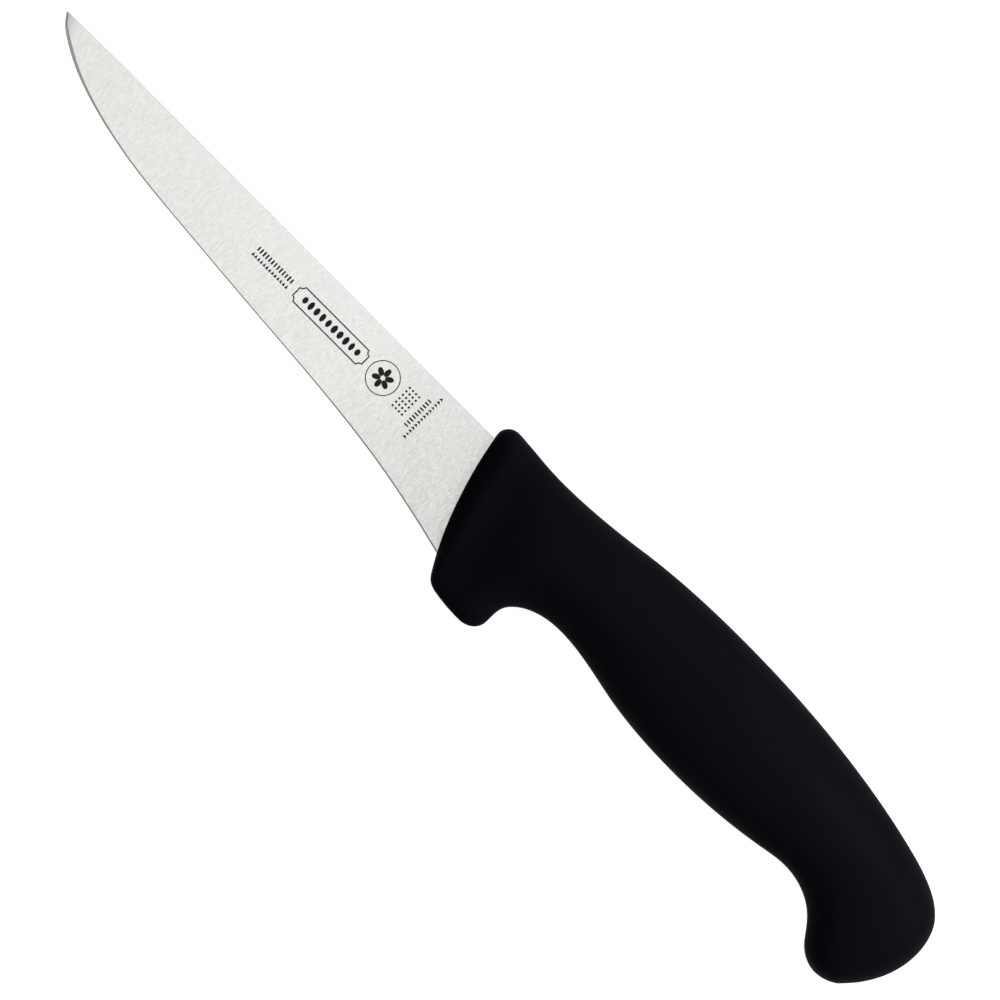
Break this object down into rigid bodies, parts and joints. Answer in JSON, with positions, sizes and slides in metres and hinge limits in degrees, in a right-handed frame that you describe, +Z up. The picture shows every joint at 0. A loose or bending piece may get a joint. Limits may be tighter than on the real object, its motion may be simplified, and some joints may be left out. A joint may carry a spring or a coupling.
{
  "type": "boning knife",
  "caption": "Boning knife with a narrow straight-backed ground steel blade moulded into a black plastic handle with a finger guard and a hooked butt.",
  "frame": {"origin": "under the middle of the knife's length and width, level with the lowest point of the handle as the knife lies flat on its right side", "axes": "+X along the blade, from the butt to the tip; +Y across the blade, from the spine to the cutting edge; +Z up, out of the knife's left side"},
  "size_m": [0.2605, 0.0384, 0.022],
  "materials": {
    "steel": "fine grinding marks running from spine to edge, with a narrow whetted bevel",
    "polypropylene": "near-black, with a fine matte texture"
  },
  "bodies": {
    "root": {"blade": "steel", "handle": "polypropylene"}
  },
  "joints": []
}
